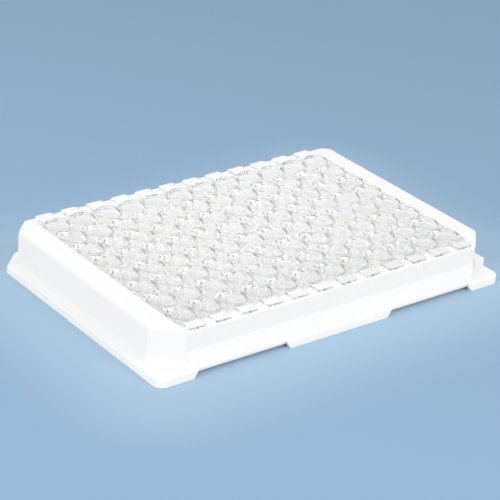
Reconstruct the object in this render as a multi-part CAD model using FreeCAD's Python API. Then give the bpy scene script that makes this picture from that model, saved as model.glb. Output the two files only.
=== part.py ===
"""Strip plate: a moulded holder frame that carries twelve removable strips of eight wells.

Millimetres. The origin is the centre of the footprint, on the surface the plate stands on.
+X runs from column 1 to column 12, +Y from row H to row A, and +Z is up.
"""
import FreeCAD
import Part
import math
import os

V = FreeCAD.Vector

# --- grid of wells -------------------------------------------------------------------------
COLUMNS = 12
ROWS = 8
PITCH = 9.0

# --- one strip -----------------------------------------------------------------------------
WELL_MOUTH_R = 3.45        # inside radius just under the rim
WELL_FLOOR_R = 3.2         # inside radius at the well's flat floor
WELL_WALL = 0.55           # wall of the tapered tube
WELL_FLOOR = 0.9           # thickness of the well's floor
WELL_DEPTH = 11.2          # rim to inside floor
COLLAR_R = 4.3             # raised collar round each mouth
COLLAR_DEPTH = 1.6         # rim to the underside of the collar
RIM_BEVEL = 0.45           # inside bevel of the rim, which leads a pipette tip in
RIM_PROUD = 0.35           # rim above the top of the bar
BAR_W = 5.84               # bar that joins the wells and ends in the two tabs
BAR_T = 0.8
TAB_END_R = 0.8            # corners of the tabs, seen from above

# --- holder frame --------------------------------------------------------------------------
BAND_W = 7.2               # tray to outer wall, at the two short sides
SEAT_W = 4.1               # tray to outer wall, at the two long sides
FLANGE_X = 2.68            # flange beyond the end walls: the footprint is 127.76 long
FLANGE_Y = 2.44            # flange beyond the long walls: the footprint is 85.48 wide
BASE_CORNER_R = 3.2
BASE_A1_CUT = 6.4          # cut corner of the footprint, at well A1
FLANGE_H = 2.41
FLANGE_EDGE_R = 0.45
CUT_FRONT = 7.6            # cut corners of the body at wells H1 and H12
CUT_A1 = 5.8               # cut corner of the body at well A1
CUT_A12 = 2.4              # plain corner of the body at well A12
BAND_RISE = 0.6            # end bands above the seats that carry the tabs
BAND_END_GAP = 3.4         # seat left free beyond each end of a band
BAND_EDGE_R = 1.5          # rounded lip of the band, above the plain end wall
SEAT_EDGE_R = 0.4
COVE_R = 2.2               # hollow corner where the end walls meet the flange
SKIRT_Z = 7.6              # the long walls lean outwards below this height
SKIRT_OUT = 1.95           # how far they lean out at the flange
GRIP_H = 5.3               # taller stretch of flange at the column 12 side
GRIP_END = 4.9             # it stops this far short of the body's two corners
GRIP_BACK = 0.45           # its face stays this far inside the flange's face
GRIP_EDGE_R = 0.5

# --- hollow underside and tray -------------------------------------------------------------
WALL = 1.5                 # outer walls and the flange's rim
TRAY_GAP_X = 0.2           # collars to tray, past columns 1 and 12
TRAY_GAP_Y = 0.4           # collars to tray, past rows A and H
WELL_CLEARANCE = 0.5       # wells to the tray's floor
TRAY_WALL = 1.2
TRAY_CORNER_R = 1.2
TRAY_FLOOR = 1.2
UNDERSIDE = 1.0            # recess under the flange and the tray's floor
DECK = 1.4                 # thickness of the top over the hollow walls
BRACE_T = 1.2              # braces between the tray and the outer walls
BRACE_STEP = 2             # wells between neighbouring braces
WINDOW_R = 3.0             # reading hole under each well

# --- notches in the bottom of the long sides -----------------------------------------------
NOTCH_FROM = 18.2
NOTCH_TO = 51.9
NOTCH_H = FLANGE_H         # the notches open the whole height of the flange
NOTCH_SLANT = 1.4          # how far a notch's ends lean in over its height

# --- ribs that space the tabs, and the column numbers --------------------------------------
TAB_GAP = 0.2              # tab to rib, each side
RIB_H = 0.3
RIB_BACK = 0.7             # rib's ends stay this far inside the seat's edges
TAB_BACK = 0.25            # tab's end stays this far inside the wall's outer face
NUMBER_H = 1.7
NUMBER_W = 0.85
NUMBER_STROKE = 0.26
NUMBER_PROUD = 0.12
NUMBER_DROP = 0.75         # seat to the top of the figures
NUMBER_SHIFT = 1.2         # figures stand this far past the strip's centre
NUMBER_SPACE = 0.35        # space between the two figures of 10, 11 and 12

# --- worked out ----------------------------------------------------------------------------
FIRST_X = -(COLUMNS - 1) * PITCH / 2
FIRST_Y = (ROWS - 1) * PITCH / 2
TRAY_FLOOR_Z = UNDERSIDE + TRAY_FLOOR
WELL_FOOT_Z = TRAY_FLOOR_Z + WELL_CLEARANCE
WELL_FLOOR_Z = WELL_FOOT_Z + WELL_FLOOR
RIM_Z = WELL_FLOOR_Z + WELL_DEPTH
BAR_TOP = RIM_Z - RIM_PROUD
SEAT_Z = BAR_TOP - BAR_T   # top of the long walls, where the tabs rest
BAND_Z = SEAT_Z + BAND_RISE
TRAY_L = 2 * (COLLAR_R + TRAY_GAP_X - FIRST_X)
TRAY_W = 2 * (COLLAR_R + TRAY_GAP_Y + FIRST_Y)
BODY_L = TRAY_L + 2 * BAND_W
BODY_W = TRAY_W + 2 * SEAT_W
HALF_L = BODY_L / 2
HALF_W = BODY_W / 2
BASE_L = BODY_L + 2 * FLANGE_X
BASE_W = BODY_W + 2 * FLANGE_Y
HOLLOW_TOP = SEAT_Z - DECK
TAB_Y = HALF_W - TAB_BACK
BAND_HALF_W = HALF_W - BAND_END_GAP
GRIP_HALF_W = HALF_W - GRIP_END
NUMBER_Z = SEAT_Z - NUMBER_DROP - NUMBER_H
MARGIN = 1.0               # how far cutting tools run past the faces they open

# Strokes of each figure, out of the seven that a plain figure is drawn with.
FIGURES = {
    "0": ("top", "bottom", "upper_left", "upper_right", "lower_left", "lower_right"),
    "1": ("upper_right", "lower_right"),
    "2": ("top", "middle", "bottom", "upper_right", "lower_left"),
    "3": ("top", "middle", "bottom", "upper_right", "lower_right"),
    "4": ("middle", "upper_left", "upper_right", "lower_right"),
    "5": ("top", "middle", "bottom", "upper_left", "lower_right"),
    "6": ("top", "middle", "bottom", "upper_left", "lower_left", "lower_right"),
    "7": ("top", "upper_right", "lower_right"),
    "8": ("top", "middle", "bottom", "upper_left", "upper_right", "lower_left", "lower_right"),
    "9": ("top", "middle", "bottom", "upper_left", "upper_right", "lower_right"),
}


def column_x(index):
    return FIRST_X + index * PITCH


def row_y(index):
    return FIRST_Y - index * PITCH


def box(x0, x1, y0, y1, z0, z1):
    return Part.makeBox(x1 - x0, y1 - y0, z1 - z0, V(x0, y0, z0))


def mirrored(shape, normal):
    return shape.mirror(V(0, 0, 0), normal)


def prism(points, direction):
    """Solid swept from a closed polygon along a vector."""
    wire = Part.makePolygon(points + [points[0]])
    return Part.Face(wire).extrude(direction)


def upright_edges(shape, corners):
    """Upright edges of a shape that stand at the given (x, y) corners."""
    found = []
    for edge in shape.Edges:
        a, b = edge.Vertexes[0].Point, edge.Vertexes[-1].Point
        if abs(a.x - b.x) > 1e-6 or abs(a.y - b.y) > 1e-6:
            continue
        if any(math.hypot(a.x - x, a.y - y) < 1e-4 for x, y in corners):
            found.append(edge)
    return found


def round_block(length, width, radius, z0, z1):
    """Rectangular block with all four upright corners rounded."""
    x, y = length / 2, width / 2
    block = box(-x, x, -y, y, z0, z1)
    return block.makeFillet(radius, upright_edges(block, [(-x, -y), (-x, y), (x, -y), (x, y)]))


# --- strips --------------------------------------------------------------------------------
def well(x, y):
    """One well: tapered tube with a flat floor and a bevelled collar round its mouth."""
    mouth = WELL_MOUTH_R
    foot = WELL_FLOOR_R + WELL_WALL
    collar_z = RIM_Z - COLLAR_DEPTH
    profile = [
        (0, WELL_FOOT_Z), (foot, WELL_FOOT_Z), (mouth + WELL_WALL, collar_z), (COLLAR_R, collar_z),
        (COLLAR_R, RIM_Z), (mouth + RIM_BEVEL, RIM_Z), (mouth, RIM_Z - RIM_BEVEL),
        (WELL_FLOOR_R, WELL_FLOOR_Z), (0, WELL_FLOOR_Z),
    ]
    wire = Part.makePolygon([V(r, 0, z) for r, z in profile + [profile[0]]])
    tube = Part.Face(wire).revolve(V(0, 0, 0), V(0, 0, 1), 360)
    tube.translate(V(x, y, 0))
    return tube


def well_bore(x, y):
    """Space inside a well, from above the rim to its floor."""
    mouth = WELL_MOUTH_R
    depth = WELL_DEPTH - RIM_BEVEL
    cone = Part.makeCone(WELL_FLOOR_R, mouth, depth, V(x, y, WELL_FLOOR_Z))
    return cone.fuse(Part.makeCylinder(mouth, RIM_BEVEL + MARGIN, V(x, y, RIM_Z - RIM_BEVEL)))


def bar(x):
    """Flat bar through the row of wells, ending in the two tabs that rest on the frame."""
    half = BAR_W / 2
    blank = box(x - half, x + half, -TAB_Y, TAB_Y, SEAT_Z, BAR_TOP)
    corners = [(x + sx * half, sy * TAB_Y) for sx in (-1, 1) for sy in (-1, 1)]
    return blank.makeFillet(TAB_END_R, upright_edges(blank, corners))


def strip(index):
    """One strip of eight wells, as a single moulding."""
    x = column_x(index)
    places = [(x, row_y(row)) for row in range(ROWS)]
    plate = bar(x)
    for place in places:
        plate = plate.cut(well_bore(*place))
    body = plate.multiFuse([well(*place) for place in places])
    return body.removeSplitter()


# --- frame ---------------------------------------------------------------------------------
# Walls of the body as (angle of the outward normal, distance from the axis, kind of foot).
CORNER = (HALF_L + HALF_W) / math.sqrt(2)
BODY_WALLS = [
    (0, HALF_L, "cove"), (180, HALF_L, "cove"), (90, HALF_W, "lean"), (270, HALF_W, "lean"),
    (135, CORNER - CUT_A1 / math.sqrt(2), "cove"), (45, CORNER - CUT_A12 / math.sqrt(2), "cove"),
    (225, CORNER - CUT_FRONT / math.sqrt(2), "cove"), (315, CORNER - CUT_FRONT / math.sqrt(2), "cove"),
]


def slab_behind(angle, points, top):
    """Everything behind one wall: points run up the wall's outer profile as (out, z) pairs.

    A point that is a triple (out, z, r) ends a hollow arc of radius r, which starts level.
    """
    far = -2 * BASE_L
    start = V(points[0][0], 0, points[0][1])
    edges = [Part.makeLine(V(far, 0, start.z), start)]
    here = start
    for point in points[1:]:
        there = V(point[0], 0, point[1])
        if len(point) == 3:
            reach = point[2] * (1 - math.sqrt(0.5))
            edges.append(Part.Arc(here, V(there.x + reach, 0, here.z + reach), there).toShape())
        else:
            edges.append(Part.makeLine(here, there))
        here = there
    roof = V(here.x, 0, top)
    edges += [Part.makeLine(here, roof), Part.makeLine(roof, V(far, 0, top))]
    edges.append(Part.makeLine(V(far, 0, top), V(far, 0, start.z)))
    slab = Part.Face(Part.Wire(edges)).extrude(V(0, 4 * BASE_L, 0))
    slab.translate(V(0, -2 * BASE_L, 0))
    slab.rotate(V(0, 0, 0), V(0, 0, 1), angle)
    return slab


def body_block(z0, top, inset=0.0, feet=True):
    """Block inside the body's walls, moved in by inset, with or without their feet."""
    block = None
    for angle, distance, kind in BODY_WALLS:
        face = distance - inset
        if not feet:
            points = [(face, z0)]
        elif kind == "cove":
            points = [(face + COVE_R, z0), (face + COVE_R, FLANGE_H), (face, FLANGE_H + COVE_R, COVE_R)]
        else:
            points = [(face + SKIRT_OUT, z0), (face + SKIRT_OUT, FLANGE_H), (face, SKIRT_Z)]
        slab = slab_behind(angle, points, top)
        block = slab if block is None else block.common(slab)
    return block


def footprint(inset, corner_r, z0, z1):
    """Block with the plate's footprint, moved in by inset: one cut corner at A1, three round ones."""
    x, y = BASE_L / 2 - inset, BASE_W / 2 - inset
    cut = BASE_A1_CUT - inset * (2 - math.sqrt(2))
    points = [(cut - x, y), (-x, y - cut), (-x, -y), (x, -y), (x, y)]
    block = prism([V(px, py, z0) for px, py in points], V(0, 0, z1 - z0))
    return block.makeFillet(corner_r, upright_edges(block, points[2:]))


def edges_at(shape, z, wanted):
    """Level edges at height z whose middle point passes the test wanted(x, y)."""
    found = []
    for edge in shape.Edges:
        middle = edge.valueAt((edge.FirstParameter + edge.LastParameter) / 2)
        level = all(abs(vertex.Z - z) < 1e-4 for vertex in edge.Vertexes)
        if level and abs(middle.z - z) < 1e-4 and wanted(middle.x, middle.y):
            found.append(edge)
    return found


def base():
    """Flange all round and, at the column 12 side, its taller stretch."""
    slab = footprint(0, BASE_CORNER_R, 0, FLANGE_H)
    slab = slab.makeFillet(FLANGE_EDGE_R, edges_at(slab, FLANGE_H, lambda x, y: True))
    face = BASE_L / 2 - GRIP_BACK
    grip = box(HALF_L - WALL, face, -GRIP_HALF_W, GRIP_HALF_W, FLANGE_H - MARGIN, GRIP_H)
    grip = grip.makeFillet(GRIP_EDGE_R, edges_at(grip, GRIP_H, lambda x, y: x > HALF_L))
    return slab.fuse(grip)


def band(side):
    """Raised band along one short side; side is -1 at column 1 and 1 at column 12."""
    block = body_block(HOLLOW_TOP, BAND_Z, feet=False)
    x = sorted((side * (TRAY_L / 2 - MARGIN), side * BODY_L))
    block = block.common(box(x[0], x[1], -BAND_HALF_W, BAND_HALF_W, HOLLOW_TOP, BAND_Z))
    return block.makeFillet(BAND_EDGE_R, edges_at(block, BAND_Z, lambda x, y: abs(x) > TRAY_L / 2))


def band_room(side):
    """Space that a band's rounded lip needs in the body, clear of the seats at its two ends."""
    x = sorted((side * (TRAY_L / 2 - MARGIN), side * (HALF_L + MARGIN)))
    y = BAND_HALF_W - BAND_EDGE_R
    return box(x[0], x[1], -y, y, BAND_Z - BAND_EDGE_R, BAND_Z)


def brace_places(wells):
    """Places of the braces along a side of so many wells, each on a line between two wells."""
    last = wells * PITCH / 2 - PITCH
    count = 1 + (wells - 2) // BRACE_STEP
    return [index * BRACE_STEP * PITCH - last for index in range(count)]


def hollow():
    """Space under the top between the tray and the outer walls, with its braces left standing."""
    space = body_block(-MARGIN, HOLLOW_TOP, inset=WALL, feet=False)
    tray = round_block(TRAY_L + 2 * TRAY_WALL, TRAY_W + 2 * TRAY_WALL, TRAY_CORNER_R + TRAY_WALL,
                       -2 * MARGIN, BAND_Z)
    space = space.cut(tray)
    half = BRACE_T / 2
    braces = []
    for y in brace_places(ROWS):
        braces.append(box(-BODY_L, BODY_L, y - half, y + half, UNDERSIDE, BAND_Z))
    for x in brace_places(COLUMNS):
        braces.append(box(x - half, x + half, -BODY_W, BODY_W, UNDERSIDE, BAND_Z))
    return space.cut(braces)


def notches():
    """Bottom notches of the long sides, two in each."""
    y = BASE_W / 2
    lean = NOTCH_SLANT / NOTCH_H
    points = [
        V(NOTCH_FROM - lean * MARGIN, 0, -MARGIN), V(NOTCH_TO + lean * MARGIN, 0, -MARGIN),
        V(NOTCH_TO - NOTCH_SLANT, 0, NOTCH_H), V(NOTCH_FROM + NOTCH_SLANT, 0, NOTCH_H),
    ]
    found = []
    for low in (-y - MARGIN, y - WALL):
        right = prism([p + V(0, low, 0) for p in points], V(0, WALL + MARGIN, 0))
        found += [right, mirrored(right, V(1, 0, 0))]
    return found


def windows():
    """Reading holes through the tray's floor, one under each well."""
    found = []
    for column in range(COLUMNS):
        for row in range(ROWS):
            place = V(column_x(column), row_y(row), UNDERSIDE - MARGIN)
            found.append(Part.makeCylinder(WINDOW_R, TRAY_FLOOR + 2 * MARGIN, place))
    return found


def ribs():
    """Low ribs on both seats, between neighbouring tabs."""
    half = (PITCH - BAR_W) / 2 - TAB_GAP
    inner, outer = TRAY_W / 2 + RIB_BACK, HALF_W - RIB_BACK
    found = []
    for index in range(COLUMNS - 1):
        x = column_x(index) + PITCH / 2
        for low, high in ((inner, outer), (-outer, -inner)):
            found.append(box(x - half, x + half, low, high, SEAT_Z - DECK / 2, SEAT_Z + RIB_H))
    return found


def stroke_lines(left):
    """Centre lines of the seven strokes of a figure, as (x, x, z, z) on the near wall."""
    right = left + NUMBER_W
    low, middle, high = NUMBER_Z, NUMBER_Z + NUMBER_H / 2, NUMBER_Z + NUMBER_H
    return {
        "top": (left, right, high, high),
        "middle": (left, right, middle, middle),
        "bottom": (left, right, low, low),
        "upper_left": (left, left, middle, high),
        "upper_right": (right, right, middle, high),
        "lower_left": (left, left, low, middle),
        "lower_right": (right, right, low, middle),
    }


def figure(digit, left):
    """One raised figure on the near wall, as a union of its strokes."""
    half = NUMBER_STROKE / 2
    lines = stroke_lines(left)
    strokes = []
    for name in FIGURES[digit]:
        x0, x1, z0, z1 = lines[name]
        y0, y1 = -HALF_W - NUMBER_PROUD, WALL / 2 - HALF_W
        strokes.append(box(x0 - half, x1 + half, y0, y1, z0 - half, z1 + half))
    return strokes[0].multiFuse(strokes[1:])


def numbers():
    """Column numbers on the near long wall."""
    found = []
    step = NUMBER_W + NUMBER_SPACE
    for index in range(COLUMNS):
        text = str(index + 1)
        left = column_x(index) + NUMBER_SHIFT - (len(text) * step - NUMBER_SPACE) / 2
        found += [figure(digit, left + place * step) for place, digit in enumerate(text)]
    return found


def frame():
    """The holder: flange, hollow walls, tray with reading holes, seats and raised bands."""
    block = body_block(UNDERSIDE, SEAT_Z)
    block = block.makeFillet(SEAT_EDGE_R, edges_at(block, SEAT_Z, lambda x, y: abs(y) > HALF_W - 1e-3))
    block = block.cut([band_room(-1), band_room(1)])
    shell = base().multiFuse([block, band(-1), band(1)])
    tray = round_block(TRAY_L, TRAY_W, TRAY_CORNER_R, TRAY_FLOOR_Z, BAND_Z + MARGIN)
    cuts = [hollow(), tray, footprint(WALL, BASE_CORNER_R - WALL, -MARGIN, UNDERSIDE)]
    shell = shell.cut(cuts + notches() + windows())
    return shell.multiFuse(ribs() + numbers()).removeSplitter()


def main():
    os.makedirs("parts", exist_ok=True)
    frame().exportStep("parts/frame.step")
    for index in range(COLUMNS):
        strip(index).exportStep("parts/strip_%02d.step" % (index + 1))


main()
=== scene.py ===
"""Strip plate: white moulded holder frame carrying twelve clear strips of eight wells.

The holder is the CAD node with a moulded-plastic finish. Each strip is a finely rounded clear
moulding that stands for its CAD node. Lengths are in metres, in the frame's own axes: X runs
from column 1 to column 12, Y from row H to row A, Z is up.
"""
import math

import bmesh
import bpy
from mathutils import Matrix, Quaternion, Vector


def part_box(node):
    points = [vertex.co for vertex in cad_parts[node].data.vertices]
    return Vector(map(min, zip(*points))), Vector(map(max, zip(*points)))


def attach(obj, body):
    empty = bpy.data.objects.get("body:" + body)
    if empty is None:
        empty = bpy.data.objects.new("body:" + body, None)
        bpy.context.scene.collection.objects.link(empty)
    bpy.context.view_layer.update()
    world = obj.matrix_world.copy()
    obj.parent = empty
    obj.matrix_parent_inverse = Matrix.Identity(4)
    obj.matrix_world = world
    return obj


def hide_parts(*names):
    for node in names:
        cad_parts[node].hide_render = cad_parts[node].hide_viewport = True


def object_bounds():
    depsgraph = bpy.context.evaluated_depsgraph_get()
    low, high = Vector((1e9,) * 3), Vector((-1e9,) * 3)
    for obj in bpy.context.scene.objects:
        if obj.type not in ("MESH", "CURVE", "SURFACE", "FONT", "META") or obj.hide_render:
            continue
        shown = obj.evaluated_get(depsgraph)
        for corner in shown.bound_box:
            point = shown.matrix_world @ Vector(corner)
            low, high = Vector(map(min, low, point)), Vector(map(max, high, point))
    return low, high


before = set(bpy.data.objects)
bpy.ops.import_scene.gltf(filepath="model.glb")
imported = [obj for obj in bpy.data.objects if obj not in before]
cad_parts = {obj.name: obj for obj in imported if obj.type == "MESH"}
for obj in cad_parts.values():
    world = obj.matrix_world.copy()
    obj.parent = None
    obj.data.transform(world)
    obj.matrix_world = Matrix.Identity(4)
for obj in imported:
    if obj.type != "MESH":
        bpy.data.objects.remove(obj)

CAD_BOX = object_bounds()
MM = 0.001

# --- strip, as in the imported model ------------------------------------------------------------
ROWS = 8
PITCH = 9.0 * MM
MOUTH_R = 3.45 * MM
FLOOR_R = 3.2 * MM
WELL_WALL = 0.55 * MM
WELL_FLOOR = 0.9 * MM
WELL_DEPTH = 11.2 * MM
COLLAR_R = 4.3 * MM
COLLAR_DEPTH = 1.6 * MM
RIM_BEVEL = 0.45 * MM
RIM_PROUD = 0.35 * MM
BAR_W = 5.84 * MM
BAR_T = 0.8 * MM
TAB_END_R = 0.8 * MM
FIRST_Y = (ROWS - 1) * PITCH / 2   # place of the first well, in row A

# --- strip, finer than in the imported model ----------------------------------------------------
FOOT_ROUND = 0.3 * MM        # rounded corners of a well's section, up its outside and down its inside
NECK_ROUND = 0.12 * MM
COLLAR_ROUND = 0.1 * MM
RIM_ROUND = 0.16 * MM
BEVEL_ROUND = 0.12 * MM
MOUTH_ROUND = 0.3 * MM
FLOOR_ROUND = 0.45 * MM
BAR_ROUND = 0.12 * MM        # softened edges of the bar and tabs
SEAT_GAP = 0.03 * MM         # air between a strip's bar and the ledge under it
BAR_SINKS = 0.6              # the bar's ends stop this share of a well's wall outside its mouth
AROUND = 56                  # facets round a well
ROUND_STEPS = 4              # facets of each rounded corner of a well's section
TAB_STEPS = 5                # facets of each rounded corner of a tab
EDGE_STEPS = 2               # facets of the bar's softened edges
SHARP_ANGLE = math.radians(32)   # edges that turn by more than this keep a sharp line
FOLD_ANGLE = 1.0             # edges that turn by more than this, in radians, are softened
WELD = 0.002 * MM            # points closer than this are one
TINY = 1e-7                  # two lengths that differ by less are equal

# --- materials --------------------------------------------------------------------------------
WHITE_DULL = (0.905, 0.908, 0.912, 1)
WHITE_CLEAN = (0.935, 0.935, 0.935, 1)
WHITE_IOR = 1.5
WHITE_ROUGHNESS = (0.36, 0.5)
WHITE_SHADE_SCALE = 60.0     # broad drift between the two whites
WHITE_SHADE_DETAIL = 3.0
WHITE_GRAIN_SCALE = 2600.0   # fine moulded grain
WHITE_GRAIN_DETAIL = 2.0
WHITE_GRAIN_STRENGTH = 0.12
WHITE_GRAIN_DEPTH = 0.02 * MM
WHITE_SCATTER = 0.12         # share of the light that scatters inside the plastic
WHITE_SCATTER_REACH = 1.0 * MM
WHITE_SCATTER_COLOURS = (1.0, 0.95, 0.9)
CLEAR_IOR = 1.58
CLEAR_ROUGHNESS = (0.02, 0.07)
CLEAR_PASSES = 0.93          # share of the light that the clear plastic doesn't scatter
CLEAR_DETAIL = 2.0
CLEAR_GRAIN_SCALE = 1800.0
RIPPLE_SCALE = 420.0
RIPPLE_STRENGTH = 0.25
RIPPLE_DEPTH = 0.05 * MM
# What one face of the clear plastic lets through: clear in the wells, and greyer on the tabs, where it is
# painted shade for the light that a clear plate over white loses.
WELL_TINT = (0.997, 0.995, 0.993, 1.0)
TAB_SHADE_TINT = (0.905, 0.905, 0.904, 1.0)

# --- camera -----------------------------------------------------------------------------------
CAMERA_PLACE = Vector((-329.5, -401.3, 265.0)) * MM
CAMERA_AIM = Vector((0.46, 1.72, 7.0)) * MM
CAMERA_ROLL = math.radians(4.52)
CAMERA_LENS = 138.2          # millimetres, like the sensor's width
CAMERA_SENSOR = 36.0
CAMERA_SEES = (0.01, 20.0)   # nearest and furthest distance

# --- light and floor --------------------------------------------------------------------------
FLOOR_SIZE = 6.0
FLOOR_PALE = (0.298, 0.459, 0.644, 1.0)
FLOOR_DEEP = (0.270, 0.394, 0.546, 1.0)
FLOOR_DEEPENS = (0.914, 0.407, 0)   # the way in which the paper deepens, to the right and back
FLOOR_PALE_TO = -120 * MM    # the paper is pale up to here, that way from the plate's middle
FLOOR_DEEP_FROM = 300 * MM   # and fully deep from here
FLOOR_BOUNCE = (0.86, 0.87, 0.88, 1.0)   # paper as it lights the plate
PAINTED_GLOW = (0.397, 0.557, 0.716, 1.0)   # painted light: the paper paler close to the plate, as if lit from the white plate
PAINTED_GLOW_REACH = 40 * MM
FADE_FROM = 300 * MM         # distance from the plate where the paper starts to join the backdrop
FADE_TO = 900 * MM
BACKDROP = (0.262, 0.385, 0.540, 1.0)
SKY_STRENGTH = 0.60          # even light from all round
TENT_STRENGTH = 1.0          # white surroundings that show in gloss and through clear plastic
LAMP_DISTANCE = 1.0
# Lamps as (name, direction from the plate, side of the square, light on a surface that faces it).
LAMPS = (
    ("top_lamp", (0.05, 0.15, 1.0), 0.8, 0.125),
    ("front_lamp", (0.25, -0.75, 0.60), 0.7, 0.30),
    ("left_lamp", (-0.80, -0.20, 0.55), 0.6, 0.30),
    ("back_lamp", (0.35, 0.75, 0.65), 0.6, 0.05),
)


# --- meshes -----------------------------------------------------------------------------------
def rounded(corners):
    """Open outline through corners given as (r, z, radius), each rounded to its radius."""
    path = []
    for index, (r, z, radius) in enumerate(corners):
        here = Vector((r, z))
        if radius == 0:
            path.append(here)
            continue
        before = (Vector(corners[index - 1][:2]) - here).normalized()
        after = (Vector(corners[index + 1][:2]) - here).normalized()
        half = before.angle(after) / 2
        reach = radius / math.tan(half)
        centre = here + (before + after).normalized() * radius / math.sin(half)
        start = here + before * reach - centre
        turn = start.angle_signed(here + after * reach - centre)
        for step in range(ROUND_STEPS + 1):
            angle = -turn * step / ROUND_STEPS
            cosine, sine = math.cos(angle), math.sin(angle)
            path.append(centre + Vector((start.x * cosine - start.y * sine,
                                         start.x * sine + start.y * cosine)))
    return path


def well_outline(rim_z):
    """Section of one well, from the axis under its floor, up outside, and down inside."""
    floor_z = rim_z - WELL_DEPTH
    foot_z = floor_z - WELL_FLOOR
    collar_z = rim_z - COLLAR_DEPTH
    return rounded([
        (0, foot_z, 0),
        (FLOOR_R + WELL_WALL, foot_z, FOOT_ROUND),
        (MOUTH_R + WELL_WALL, collar_z, NECK_ROUND),
        (COLLAR_R, collar_z, COLLAR_ROUND),
        (COLLAR_R, rim_z, RIM_ROUND),
        (MOUTH_R + RIM_BEVEL, rim_z, BEVEL_ROUND),
        (MOUTH_R, rim_z - RIM_BEVEL, MOUTH_ROUND),
        (FLOOR_R, floor_z, FLOOR_ROUND),
        (0, floor_z, 0),
    ])


def add_lathe(mesh, outline, y):
    """Turns a section about the upright axis through (0, y) into a closed skin."""
    rings = []
    for point in outline:
        if point.x == 0:
            rings.append([mesh.verts.new((0, y, point.y))])
            continue
        ring = []
        for step in range(AROUND):
            angle = math.tau * step / AROUND
            ring.append(mesh.verts.new((point.x * math.cos(angle), y + point.x * math.sin(angle), point.y)))
        rings.append(ring)
    for low, high in zip(rings, rings[1:]):
        for step in range(AROUND):
            after = (step + 1) % AROUND
            if len(low) == 1:
                mesh.faces.new((low[0], high[after], high[step]))
            elif len(high) == 1:
                mesh.faces.new((low[step], low[after], high[0]))
            else:
                mesh.faces.new((low[step], low[after], high[after], high[step]))


def add_plate(mesh, y0, y1, z0, z1, end=0):
    """Length of the bar from y0 to y1 with softened edges; end is 1 or -1 where it ends in a tab."""
    verts = bmesh.ops.create_cube(mesh, size=1.0)["verts"]
    for vert in verts:
        vert.co.x *= BAR_W
        vert.co.y = y1 if vert.co.y > 0 else y0
        vert.co.z = z1 if vert.co.z > 0 else z0
    edges = {edge for vert in verts for edge in vert.link_edges}
    if end:
        tip = y1 if end > 0 else y0
        corners = [e for e in edges if abs(e.verts[0].co.z - e.verts[1].co.z) > BAR_T / 2
                   and abs(e.verts[0].co.y - tip) < BAR_ROUND]
        bmesh.ops.bevel(mesh, geom=corners, offset=TAB_END_R, segments=TAB_STEPS, affect="EDGES", profile=0.5)
    level = [e for e in mesh.edges if abs(e.verts[0].co.z - e.verts[1].co.z) < TINY
             and len(e.link_faces) == 2 and e.calc_face_angle(0) > FOLD_ANGLE
             and min(e.verts[0].co.y, e.verts[1].co.y) > y0 - TINY
             and max(e.verts[0].co.y, e.verts[1].co.y) < y1 + TINY]
    bmesh.ops.bevel(mesh, geom=level, offset=BAR_ROUND, segments=EDGE_STEPS, affect="EDGES", profile=0.5)


def new_object(name, mesh):
    """Object holding a finished bmesh, which it uses up."""
    mesh.normal_update()
    data = bpy.data.meshes.new(name)
    mesh.to_mesh(data)
    mesh.free()
    piece = bpy.data.objects.new(name, data)
    bpy.context.scene.collection.objects.link(piece)
    return piece


def applied(piece):
    """Mesh of an object with its modifiers applied; the object is then removed."""
    graph = bpy.context.evaluated_depsgraph_get()
    data = bpy.data.meshes.new_from_object(piece.evaluated_get(graph))
    bpy.data.objects.remove(piece)
    return data


def joined(base, tool):
    """Mesh of the union of two objects, which are then removed."""
    union = base.modifiers.new("union", "BOOLEAN")
    union.operation = "UNION"
    union.solver = "EXACT"
    union.object = tool
    data = applied(base)
    bpy.data.objects.remove(tool)
    return data


def soften(data):
    """Shades a mesh smooth below the sharp angle, with its large faces kept true beside small rounds."""
    mesh = bmesh.new()
    mesh.from_mesh(data)
    bmesh.ops.remove_doubles(mesh, verts=mesh.verts, dist=WELD)
    bmesh.ops.recalc_face_normals(mesh, faces=mesh.faces)
    for face in mesh.faces:
        face.smooth = True
    for edge in mesh.edges:
        edge.smooth = len(edge.link_faces) == 2 and edge.calc_face_angle(0) < SHARP_ANGLE
    piece = new_object("soft", mesh)
    true = piece.modifiers.new("true", "WEIGHTED_NORMAL")
    true.mode = "FACE_AREA_WITH_ANGLE"
    true.keep_sharp = True
    return applied(piece)


def strip_mesh(low, high):
    """One strip centred on X = 0, between the heights and tab ends of its CAD node."""
    rim_z = high.z
    bar_top = rim_z - RIM_PROUD
    wells = bmesh.new()
    outline = well_outline(rim_z)
    for row in range(ROWS):
        add_lathe(wells, outline, FIRST_Y - row * PITCH)
    bars = bmesh.new()
    inside = MOUTH_R + BAR_SINKS * WELL_WALL
    seat = bar_top - BAR_T + SEAT_GAP
    for row in range(ROWS - 1):
        y = FIRST_Y - row * PITCH
        add_plate(bars, y - PITCH + inside, y - inside, seat, bar_top)
    add_plate(bars, FIRST_Y + inside, high.y, seat, bar_top, end=1)
    add_plate(bars, low.y, -FIRST_Y - inside, seat, bar_top, end=-1)
    data = joined(new_object("wells", wells), new_object("bars", bars))
    return soften(data)


# --- materials --------------------------------------------------------------------------------
def new_material(name):
    """Empty node material and its node tree."""
    material = bpy.data.materials.new(name)
    material.use_nodes = True
    tree = material.node_tree
    tree.nodes.clear()
    return material, tree


def node(tree, kind, **inputs):
    """Adds a node and sets its sockets by name, with underscores for spaces."""
    made = tree.nodes.new(kind)
    for name, value in inputs.items():
        socket = made.inputs[name.replace("_", " ")]
        if isinstance(value, bpy.types.NodeSocket):
            tree.links.new(value, socket)
        else:
            socket.default_value = value
    return made


def speckle(tree, scale, detail):
    """Moulding grain in object space, as a value from 0 to 1."""
    place = tree.nodes.new("ShaderNodeTexCoord").outputs["Object"]
    return node(tree, "ShaderNodeTexNoise", Vector=place, Scale=scale, Detail=detail).outputs["Fac"]


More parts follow.
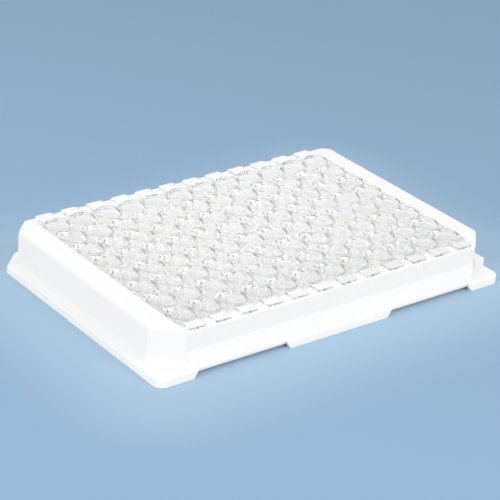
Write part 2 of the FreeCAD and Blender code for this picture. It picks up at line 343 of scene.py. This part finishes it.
def blend_colours(tree, factor, first, second):
    """Colour that goes from the first to the second; each is a colour or a socket."""
    mix = tree.nodes.new("ShaderNodeMix")
    mix.data_type = "RGBA"
    tree.links.new(factor, mix.inputs["Factor"])
    for name, colour in (("A", first), ("B", second)):
        if isinstance(colour, bpy.types.NodeSocket):
            tree.links.new(colour, mix.inputs[name])
        else:
            mix.inputs[name].default_value = colour
    return mix.outputs["Result"]


def blend_shaders(tree, factor, first, second):
    """Shader node that goes from the first shader to the second."""
    mix = tree.nodes.new("ShaderNodeMixShader")
    tree.links.new(factor, mix.inputs["Fac"])
    tree.links.new(first.outputs[0], mix.inputs[1])
    tree.links.new(second.outputs[0], mix.inputs[2])
    return mix


def finish_surface(tree, shader):
    """Makes a shader node the material's surface."""
    output = tree.nodes.new("ShaderNodeOutputMaterial")
    tree.links.new(shader.outputs[0], output.inputs["Surface"])


def remap(tree, value, low, high, start=0.0, stop=1.0):
    """Takes a value that runs from start to stop to one that eases from low to high."""
    made = node(tree, "ShaderNodeMapRange", Value=value,
                From_Min=start, From_Max=stop, To_Min=low, To_Max=high)
    made.interpolation_type = "SMOOTHSTEP"
    return made.outputs["Result"]


def either(tree, first, second):
    """1 where one of two 0-or-1 sockets is 1."""
    made = tree.nodes.new("ShaderNodeMath")
    made.operation = "MAXIMUM"
    tree.links.new(first, made.inputs[0])
    tree.links.new(second, made.inputs[1])
    return made.outputs["Value"]


def vector_math(tree, operation, vector, value=(0, 0, 0)):
    """Node that works on a vector socket and, where the operation takes one, a fixed vector."""
    made = node(tree, "ShaderNodeVectorMath")
    made.operation = operation
    tree.links.new(vector, made.inputs[0])
    made.inputs[1].default_value = value
    return made


def white_plastic():
    """Opaque white polystyrene with a fine moulded grain."""
    material, tree = new_material("white_plastic")
    broad = speckle(tree, WHITE_SHADE_SCALE, WHITE_SHADE_DETAIL)
    fine = speckle(tree, WHITE_GRAIN_SCALE, WHITE_GRAIN_DETAIL)
    colour = blend_colours(tree, broad, WHITE_DULL, WHITE_CLEAN)
    bump = node(tree, "ShaderNodeBump", Height=fine,
                Strength=WHITE_GRAIN_STRENGTH, Distance=WHITE_GRAIN_DEPTH)
    surface = node(tree, "ShaderNodeBsdfPrincipled", Base_Color=colour, IOR=WHITE_IOR,
                   Roughness=remap(tree, fine, *WHITE_ROUGHNESS), Normal=bump.outputs["Normal"],
                   Subsurface_Weight=WHITE_SCATTER, Subsurface_Radius=WHITE_SCATTER_COLOURS,
                   Subsurface_Scale=WHITE_SCATTER_REACH)
    finish_surface(tree, surface)
    return material


def clear_plastic(name, tint):
    """Clear polystyrene, faintly rippled by moulding; lamp light passes straight through it."""
    material, tree = new_material(name)
    ripple = speckle(tree, RIPPLE_SCALE, CLEAR_DETAIL)
    fine = speckle(tree, CLEAR_GRAIN_SCALE, CLEAR_DETAIL)
    bump = node(tree, "ShaderNodeBump", Height=ripple, Strength=RIPPLE_STRENGTH, Distance=RIPPLE_DEPTH)
    surface = node(tree, "ShaderNodeBsdfPrincipled", Base_Color=tint, IOR=CLEAR_IOR,
                   Roughness=remap(tree, fine, *CLEAR_ROUGHNESS), Normal=bump.outputs["Normal"],
                   Transmission_Weight=CLEAR_PASSES)
    through = node(tree, "ShaderNodeBsdfTransparent", Color=(1, 1, 1, 1))
    rays = tree.nodes.new("ShaderNodeLightPath").outputs
    seen = blend_shaders(tree, rays["Is Diffuse Ray"], surface, through)
    lit = blend_shaders(tree, rays["Is Shadow Ray"], seen, through)
    finish_surface(tree, lit)
    return material


def floor_paper():
    """Pale blue paper, deeper further back, with painted light that makes it paler round the plate; its
    bounce is neutral.
    """
    material, tree = new_material("floor_paper")
    place = tree.nodes.new("ShaderNodeTexCoord").outputs["Object"]
    across = vector_math(tree, "DOT_PRODUCT", place, FLOOR_DEEPENS).outputs["Value"]
    deepening = remap(tree, across, 0, 1, FLOOR_PALE_TO, FLOOR_DEEP_FROM)
    paper = blend_colours(tree, deepening, FLOOR_PALE, FLOOR_DEEP)
    half = (CAD_BOX[1] - CAD_BOX[0]) / 2
    sides = vector_math(tree, "ABSOLUTE", place).outputs["Vector"]
    beyond = vector_math(tree, "SUBTRACT", sides, (half.x, half.y, 0)).outputs["Vector"]
    outside = vector_math(tree, "MAXIMUM", beyond).outputs["Vector"]
    gap = vector_math(tree, "LENGTH", outside).outputs["Value"]
    # Painted light: the paper is paler within reach of the plate.
    seen = blend_colours(tree, remap(tree, gap, 0, 1, 0, PAINTED_GLOW_REACH), PAINTED_GLOW, paper)
    rays = tree.nodes.new("ShaderNodeLightPath").outputs
    shiny = either(tree, rays["Is Glossy Ray"], rays["Is Transmission Ray"])
    direct = either(tree, rays["Is Camera Ray"], shiny)
    surface = node(tree, "ShaderNodeBsdfDiffuse", Color=blend_colours(tree, direct, FLOOR_BOUNCE, seen))
    backdrop = node(tree, "ShaderNodeEmission", Color=BACKDROP)
    finish_surface(tree, blend_shaders(tree, remap(tree, gap, 0, 1, FADE_FROM, FADE_TO), surface, backdrop))
    return material


# --- the object -------------------------------------------------------------------------------
def dress_frame():
    """Gives the holder its finish in the slots of its own CAD object."""
    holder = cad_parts["frame"]
    finish = white_plastic()
    for entry in holder.material_slots:
        entry.material = finish


def place_strips():
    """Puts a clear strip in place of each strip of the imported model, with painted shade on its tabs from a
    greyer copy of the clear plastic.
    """
    names = sorted(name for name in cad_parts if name.startswith("strip_"))
    low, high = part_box(names[0])
    data = strip_mesh(low, high)
    data.materials.clear()
    data.materials.append(clear_plastic("clear_plastic", WELL_TINT))
    data.materials.append(clear_plastic("tab_shaded_plastic", TAB_SHADE_TINT))
    # Faces beyond the end wells take the greyer copy: painted shade on the tabs.
    tabs_from = FIRST_Y + COLLAR_R
    for face in data.polygons:
        face.material_index = int(abs(face.center.y) > tabs_from)
    for name in names:
        low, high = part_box(name)
        piece = bpy.data.objects.new("clear_" + name, data)
        bpy.context.scene.collection.objects.link(piece)
        piece.location.x = (low.x + high.x) / 2
        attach(piece, "root")
        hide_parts(name)


# --- stage, light and camera ------------------------------------------------------------------
def lay_floor():
    """Wide sheet of paper under the plate."""
    mesh = bmesh.new()
    bmesh.ops.create_grid(mesh, x_segments=1, y_segments=1, size=FLOOR_SIZE / 2)
    floor = new_object("floor", mesh)
    floor.location.z = CAD_BOX[0].z
    floor.data.materials.append(floor_paper())


def area_light(name, direction, size, level):
    """Soft square lamp that looks at the middle of the plate; at level 1 it lights a white card white."""
    data = bpy.data.lights.new(name, "AREA")
    data.size = size
    data.energy = level * (math.pi * LAMP_DISTANCE) ** 2
    lamp = bpy.data.objects.new(name, data)
    lamp.location = CAMERA_AIM + Vector(direction).normalized() * LAMP_DISTANCE
    lamp.rotation_mode = "QUATERNION"
    lamp.rotation_quaternion = (CAMERA_AIM - lamp.location).to_track_quat("-Z", "Y")
    bpy.context.scene.collection.objects.link(lamp)


def light_studio():
    """Even sky light with white surroundings, and the lamps."""
    world = bpy.data.worlds.new("studio")
    world.use_nodes = True
    tree = world.node_tree
    background = tree.nodes["Background"]
    rays = tree.nodes.new("ShaderNodeLightPath").outputs
    shiny = either(tree, rays["Is Glossy Ray"], rays["Is Transmission Ray"])
    direct = either(tree, rays["Is Camera Ray"], shiny)
    colour = blend_colours(tree, rays["Is Camera Ray"], (1, 1, 1, 1), BACKDROP)
    tree.links.new(colour, background.inputs["Color"])
    tree.links.new(remap(tree, direct, SKY_STRENGTH, TENT_STRENGTH), background.inputs["Strength"])
    bpy.context.scene.world = world
    for name, direction, size, level in LAMPS:
        area_light(name, direction, size, level)


def place_camera():
    """Camera at the photograph's viewing angle."""
    data = bpy.data.cameras.new("camera")
    data.sensor_width = CAMERA_SENSOR
    data.lens = CAMERA_LENS
    data.clip_start, data.clip_end = CAMERA_SEES
    camera = bpy.data.objects.new("camera", data)
    camera.location = CAMERA_PLACE
    camera.rotation_mode = "QUATERNION"
    level = (CAMERA_AIM - CAMERA_PLACE).to_track_quat("-Z", "Y")
    camera.rotation_quaternion = level @ Quaternion((0, 0, 1), CAMERA_ROLL)
    bpy.context.scene.collection.objects.link(camera)
    bpy.context.scene.camera = camera


def set_light_paths():
    """Lets light cross the many clear walls that stand one behind another."""
    cycles = bpy.context.scene.cycles
    cycles.max_bounces = 48
    cycles.transmission_bounces = 48
    cycles.transparent_max_bounces = 64
    cycles.glossy_bounces = 16
    cycles.diffuse_bounces = 6


bpy.context.scene.view_settings.view_transform = "Standard"
set_light_paths()
dress_frame()
place_strips()
lay_floor()
light_studio()
place_camera()
